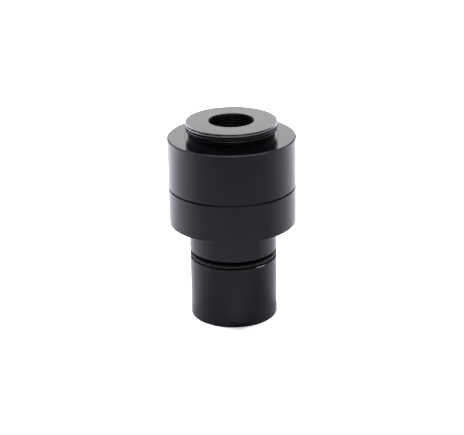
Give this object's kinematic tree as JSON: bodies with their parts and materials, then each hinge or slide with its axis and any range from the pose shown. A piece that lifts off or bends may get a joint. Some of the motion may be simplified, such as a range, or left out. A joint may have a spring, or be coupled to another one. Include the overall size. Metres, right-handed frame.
{
  "type": "eyepiece tube camera adapter",
  "caption": "Black turned barrel that joins a camera's one-inch thread to a telescope eyepiece tube, with a reducing lens inside and a screw focus between its two barrels.",
  "frame": {"origin": "centre of the nosepiece's foot, on the optical axis", "axes": "+Z along the optical axis, up to the camera; +X towards the guide pin; +Y towards the lock screw at the back"},
  "size_m": [0.0356, 0.0356, 0.0571],
  "materials": {
    "anodised_barrel": "satin black anodised, fine turned marks",
    "anodised_nose": "satin black anodised, slightly glossier",
    "matte_black_metal": "matte black anodised",
    "rubber": "smooth black",
    "glass": "polished and coated",
    "steel": "ground",
    "steel_black": "black oxide",
    "nylon": "natural"
  },
  "bodies": {
    "nosepiece": {"nose_sleeve": "anodised_nose", "nose_o_ring": "rubber", "field_lens": "glass", "field_lens_retainer": "matte_black_metal", "lower_barrel": "anodised_barrel", "glare_stop": "matte_black_metal", "guide_pin": "steel", "drag_o_ring": "rubber"},
    "carrier": {"lens_carrier": "matte_black_metal", "crown_element": "glass", "flint_element": "glass", "doublet_spacer": "matte_black_metal", "doublet_retainer": "matte_black_metal"},
    "barrel": {"slip_washer_lower": "nylon", "slip_washer_upper": "nylon", "carrier_retainer": "matte_black_metal", "upper_barrel": "anodised_barrel", "camera_thread_ring": "anodised_barrel", "lock_pad": "nylon", "lock_screw": "steel_black"}
  },
  "joints": [
    {"name": "focus_lift", "type": "slide", "parent": "nosepiece", "child": "carrier", "axis": [0, 0, 1], "range_m": [0, 0.00225]},
    {"name": "focus_turn", "type": "hinge", "parent": "carrier", "child": "barrel", "pos_m": [0, 0, 0.0455], "axis": [0, 0, 1], "range_deg": [0, 1080]}
  ],
  "couplings": [
    {"joint": "focus_turn", "follows": "focus_lift", "rad_per_m": 8377.6}
  ]
}
